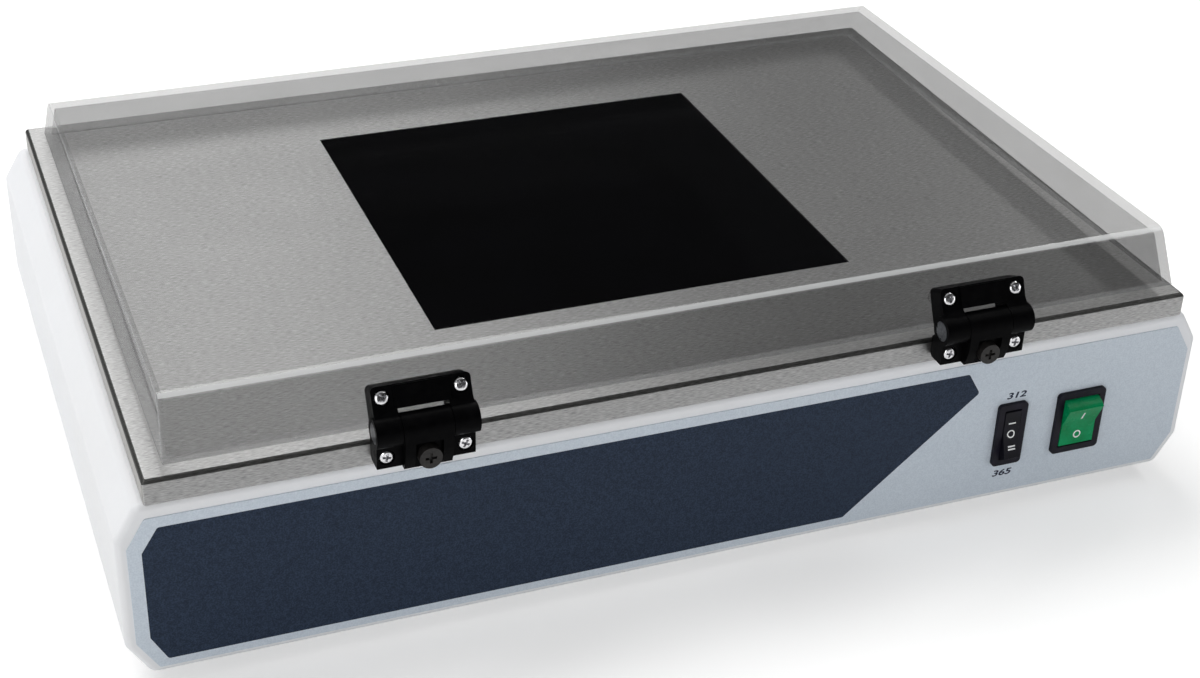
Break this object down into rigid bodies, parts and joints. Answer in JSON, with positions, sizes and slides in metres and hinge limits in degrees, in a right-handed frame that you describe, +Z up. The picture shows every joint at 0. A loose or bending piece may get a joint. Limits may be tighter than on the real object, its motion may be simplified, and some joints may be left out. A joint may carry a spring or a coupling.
{
  "type": "uv transilluminator",
  "caption": "Low bench cabinet with a steel tray, a flush black ultraviolet filter, rocker switches and a tinted shield on friction hinges.",
  "frame": {"origin": "middle of the object's outline on the bench, at the underside of the rubber feet", "axes": "+X to the user's right along the cabinet's width, +Y from the front with the switches to the back, +Z up"},
  "size_m": [0.5, 0.3576, 0.1323],
  "materials": {
    "white_paint": "cool white powder coat, fine texture, satin",
    "film_print": "printed polyester film, light blue-grey with a dark navy field, fine matte grain",
    "zinc_sheet": "zinc-plated sheet",
    "screw_steel": "bright plated screws and nuts",
    "foot_rubber": "black rubber",
    "stainless": "stainless sheet, brushed along the width",
    "uv_glass": "black filter glass, polished",
    "black_paint": "matte black",
    "bright_aluminium": "bright rolled",
    "white_plastic": "moulded",
    "lamp_glass_312": "clear violet-white lamp glass",
    "lamp_glass_365": "dark blue-black lamp glass",
    "ballast_case": "white stove enamel",
    "earth_brass": "bare brass",
    "sleeve_grey": "heat-resistant sleeve",
    "black_plastic": "moulded, semi-gloss",
    "green_plastic": "translucent green, glossy",
    "tinned_contacts": "tinned",
    "fuse_glass": "clear glass tube",
    "black_hinge": "black cast zinc, fine satin",
    "grey_pin": "dark steel",
    "black_screw": "black oxide",
    "tinted_acrylic": "clear, lightly smoke-tinted, polished"
  },
  "bodies": {
    "cabinet": {"body_shell": "white_paint", "front_film": "film_print", "base_plate": "zinc_sheet", "base_screws": "screw_steel", "feet": "foot_rubber", "foot_screws": "screw_steel", "foot_nuts": "screw_steel", "rear_panel": "white_paint", "rear_screws": "screw_steel", "tray": "stainless", "tray_nuts": "screw_steel", "filter_glass": "uv_glass", "filter_gasket": "foot_rubber", "filter_frame": "black_paint", "frame_nuts": "screw_steel", "reflector": "bright_aluminium", "lamp_rails": "zinc_sheet", "rail_screws": "screw_steel", "lamp_holders": "white_plastic", "lamps_312": "lamp_glass_312", "lamps_365": "lamp_glass_365", "lamp_caps": "bright_aluminium", "ballast_312": "ballast_case", "ballast_365": "ballast_case", "ballast_screws": "screw_steel", "terminal_block": "white_plastic", "earth_stud": "earth_brass", "wiring": "sleeve_grey", "power_housing": "black_plastic", "power_terminals": "tinned_contacts", "selector_housing": "black_plastic", "selector_terminals": "tinned_contacts", "inlet_body": "black_plastic", "inlet_pins": "tinned_contacts", "inlet_screws": "screw_steel", "inlet_nuts": "screw_steel", "hinge_bracket_left": "black_hinge", "hinge_bracket_right": "black_hinge", "bracket_screws": "screw_steel", "bracket_nuts": "screw_steel"},
    "shield": {"cover": "tinted_acrylic", "hinge_leaf_left": "black_hinge", "hinge_leaf_right": "black_hinge", "hinge_pin_left": "grey_pin", "hinge_pin_right": "grey_pin", "leaf_screws": "screw_steel", "leaf_nuts": "screw_steel"},
    "power_rocker_body": {"power_rocker": "green_plastic"},
    "selector_rocker_body": {"selector_rocker": "black_plastic"},
    "fuse_drawer_body": {"fuse_drawer": "black_plastic", "fuses": "fuse_glass"},
    "torque_screw_left_body": {"torque_screw_left": "black_screw"},
    "torque_screw_right_body": {"torque_screw_right": "black_screw"}
  },
  "joints": [
    {"name": "shield_hinge", "type": "hinge", "parent": "cabinet", "child": "shield", "pos_m": [0, -0.171, 0.1105], "axis": [1, 0, 0], "range_deg": [0, 110]},
    {"name": "power_tilt", "type": "hinge", "parent": "cabinet", "child": "power_rocker_body", "pos_m": [0.19, -0.161, 0.043], "axis": [-1, 0, 0], "range_deg": [0, 24]},
    {"name": "selector_tilt", "type": "hinge", "parent": "cabinet", "child": "selector_rocker_body", "pos_m": [0.1535, -0.161, 0.043], "axis": [1, 0, 0], "range_deg": [0, 20]},
    {"name": "fuse_drawer_slide", "type": "slide", "parent": "cabinet", "child": "fuse_drawer_body", "axis": [0, 1, 0], "range_m": [0, 0.012]},
    {"name": "torque_screw_left_turn", "type": "hinge", "parent": "cabinet", "child": "torque_screw_left_body", "pos_m": [-0.1265, -0.171, 0.0993], "axis": [0, -1, 0], "range_deg": [-90, 90]},
    {"name": "torque_screw_right_turn", "type": "hinge", "parent": "cabinet", "child": "torque_screw_right_body", "pos_m": [0.1265, -0.171, 0.0993], "axis": [0, -1, 0], "range_deg": [-90, 90]}
  ]
}
